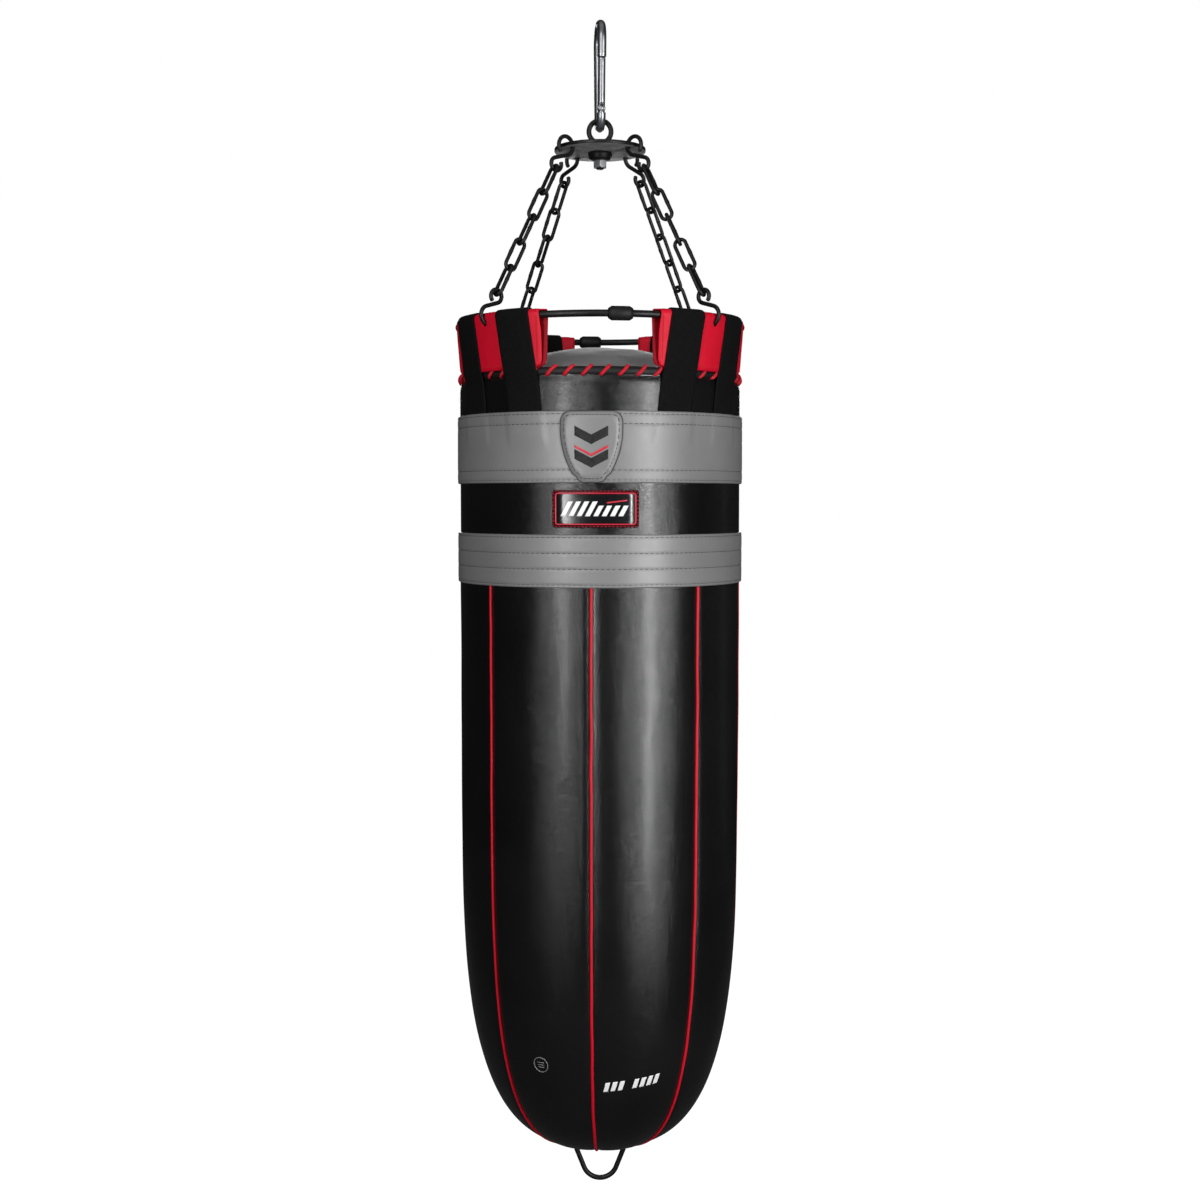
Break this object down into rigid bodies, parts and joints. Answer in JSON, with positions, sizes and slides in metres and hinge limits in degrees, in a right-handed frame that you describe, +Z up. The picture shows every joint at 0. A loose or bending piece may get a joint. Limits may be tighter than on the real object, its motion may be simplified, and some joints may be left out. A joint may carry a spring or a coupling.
{
  "type": "heavy punching bag",
  "caption": "Tall round heavy punching bag with a rounded bottom, hung by four chains from a swivelling spreader plate and a snap hook.",
  "frame": {"origin": "inside top of the snap hook, where the bag hangs from its bracket", "axes": "+Z up, -Y the front of the bag with the shield patch, +X its right-hand side seen from the front"},
  "size_m": [0.3878, 0.3979, 1.5852],
  "materials": {
    "zinc_steel": "bright zinc-plated steel",
    "black_steel": "black coated steel, semi-gloss",
    "black_plastic": "black moulded sleeve",
    "black_leather": "fine-grain semi-gloss black leather",
    "grey_leather": "smooth mid-grey leather",
    "red_leather": "saturated red leather",
    "webbing": "matte black woven webbing",
    "stuffing": "packed textile stuffing"
  },
  "bodies": {
    "snap_hook": {"snap_hook_body": "zinc_steel", "gate_pin": "zinc_steel"},
    "hook_gate": {"snap_hook_gate": "zinc_steel"},
    "eye_bolt": {"eye_bolt": "black_steel", "thrust_bearing": "black_steel", "lock_nut": "zinc_steel"},
    "spreader": {"spreader_plate": "black_steel", "top_hook_front_left": "black_steel", "top_hook_front_right": "black_steel", "top_hook_back_left": "black_steel", "top_hook_back_right": "black_steel"},
    "leg_front_left": {"chain_front_left_link_1": "black_steel", "chain_front_left_link_2": "black_steel", "chain_front_left_link_3": "black_steel", "chain_front_left_link_4": "black_steel", "chain_front_left_link_5": "black_steel"},
    "leg_front_right": {"chain_front_right_link_1": "black_steel", "chain_front_right_link_2": "black_steel", "chain_front_right_link_3": "black_steel", "chain_front_right_link_4": "black_steel", "chain_front_right_link_5": "black_steel"},
    "leg_back_left": {"chain_back_left_link_1": "black_steel", "chain_back_left_link_2": "black_steel", "chain_back_left_link_3": "black_steel", "chain_back_left_link_4": "black_steel", "chain_back_left_link_5": "black_steel"},
    "leg_back_right": {"chain_back_right_link_1": "black_steel", "chain_back_right_link_2": "black_steel", "chain_back_right_link_3": "black_steel", "chain_back_right_link_4": "black_steel", "chain_back_right_link_5": "black_steel"},
    "bag": {"ring_half_right": "black_steel", "ring_half_left": "black_steel", "lower_hook_front_left": "black_steel", "tab_front_left": "red_leather", "strap_front_left_a": "webbing", "strap_front_left_b": "webbing", "lower_hook_front_right": "black_steel", "tab_front_right": "red_leather", "strap_front_right_a": "webbing", "strap_front_right_b": "webbing", "lower_hook_back_left": "black_steel", "tab_back_left": "red_leather", "strap_back_left_a": "webbing", "strap_back_left_b": "webbing", "lower_hook_back_right": "black_steel", "tab_back_right": "red_leather", "strap_back_right_a": "webbing", "strap_back_right_b": "webbing", "ring_sleeve_front": "black_plastic", "ring_sleeve_back": "black_plastic", "upper_shell": "black_leather", "lower_shell": "black_leather", "rim_welt": "black_leather", "top_cover": "grey_leather", "upper_band": "grey_leather", "lower_band": "grey_leather", "filling": "stuffing", "d_ring_keeper": "webbing"},
    "d_ring": {"d_ring": "black_steel"}
  },
  "joints": [
    {"name": "gate_hinge", "type": "hinge", "parent": "snap_hook", "child": "hook_gate", "pos_m": [0.00171, -0.01627, -0.107], "axis": [-0.9945, -0.1045, 0], "range_deg": [0, 25], "stiffness_Nm_per_rad": 0.15, "springref_deg": -11.46},
    {"name": "swing_front_back", "type": "hinge", "parent": "snap_hook", "child": "eye_bolt", "pos_m": [0, 0, -0.1193], "axis": [1, 0, 0], "range_deg": [-45, 45]},
    {"name": "swivel_spin", "type": "hinge", "parent": "eye_bolt", "child": "spreader", "pos_m": [0, 0, -0.159], "axis": [0, 0, 1], "continuous": true},
    {"name": "bag_sway", "type": "hinge", "parent": "spreader", "child": "bag", "pos_m": [0, 0, -0.04977], "axis": [0, 1, 0], "range_deg": [-4, 4]},
    {"name": "leg_front_left_swing", "type": "hinge", "parent": "spreader", "child": "leg_front_left", "pos_m": [-0.06031, -0.05431, -0.19441], "axis": [0, 1, 0], "range_deg": [-7.9, 7.9]},
    {"name": "leg_front_right_swing", "type": "hinge", "parent": "spreader", "child": "leg_front_right", "pos_m": [0.06031, -0.05431, -0.19441], "axis": [0, 1, 0], "range_deg": [-7.9, 7.9]},
    {"name": "leg_back_left_swing", "type": "hinge", "parent": "spreader", "child": "leg_back_left", "pos_m": [-0.05108, 0.06307, -0.19441], "axis": [0, 1, 0], "range_deg": [-7.9, 7.9]},
    {"name": "leg_back_right_swing", "type": "hinge", "parent": "spreader", "child": "leg_back_right", "pos_m": [0.05739, 0.05739, -0.19441], "axis": [0, 1, 0], "range_deg": [-7.9, 7.9]},
    {"name": "d_ring_swing", "type": "hinge", "parent": "bag", "child": "d_ring", "pos_m": [0, 0, -1.522], "axis": [1, 0, 0], "range_deg": [-80, 80]}
  ],
  "couplings": [
    {"joint": "leg_front_left_swing", "follows": "bag_sway", "ratio": 1.8757},
    {"joint": "leg_front_right_swing", "follows": "bag_sway", "ratio": 1.8757},
    {"joint": "leg_back_left_swing", "follows": "bag_sway", "ratio": 1.8757},
    {"joint": "leg_back_right_swing", "follows": "bag_sway", "ratio": 1.8757}
  ]
}
